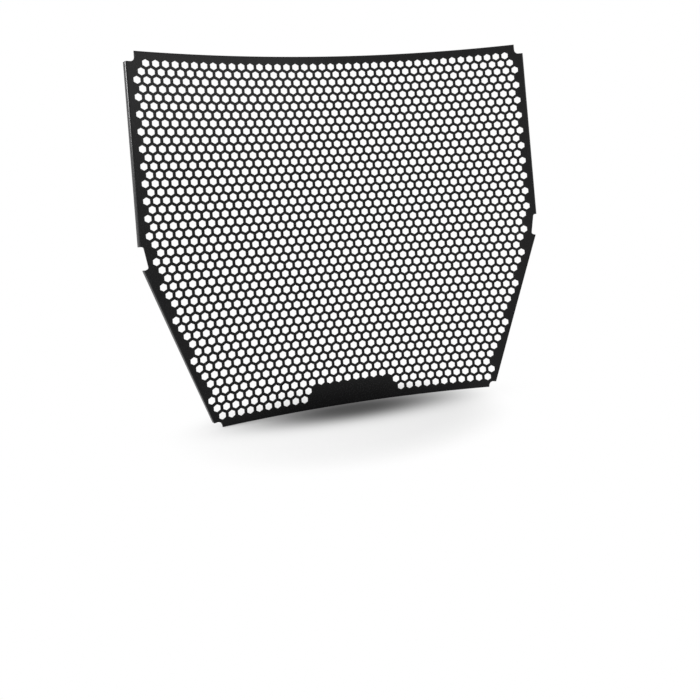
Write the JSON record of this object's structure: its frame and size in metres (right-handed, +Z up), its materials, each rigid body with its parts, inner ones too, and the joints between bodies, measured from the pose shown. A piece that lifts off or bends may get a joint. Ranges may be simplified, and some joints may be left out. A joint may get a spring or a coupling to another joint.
{
  "type": "motorcycle radiator guard",
  "caption": "Hexagon perforated radiator guard: a black folded sheet with shallow back flanges, bent about a vertical axis, with a tapered lower half.",
  "frame": {"origin": "on the underside of the bottom flange, at the middle of its length and of its flat depth", "axes": "+X to the right seen from the front, +Y from the front towards the radiator, +Z up. The front, hollow face of the bend looks along -Y"},
  "size_m": [0.3912, 0.0444, 0.349],
  "materials": {
    "coated_sheet": "satin black powder coat on aluminium"
  },
  "bodies": {
    "root": {"guard": "coated_sheet"}
  },
  "joints": []
}
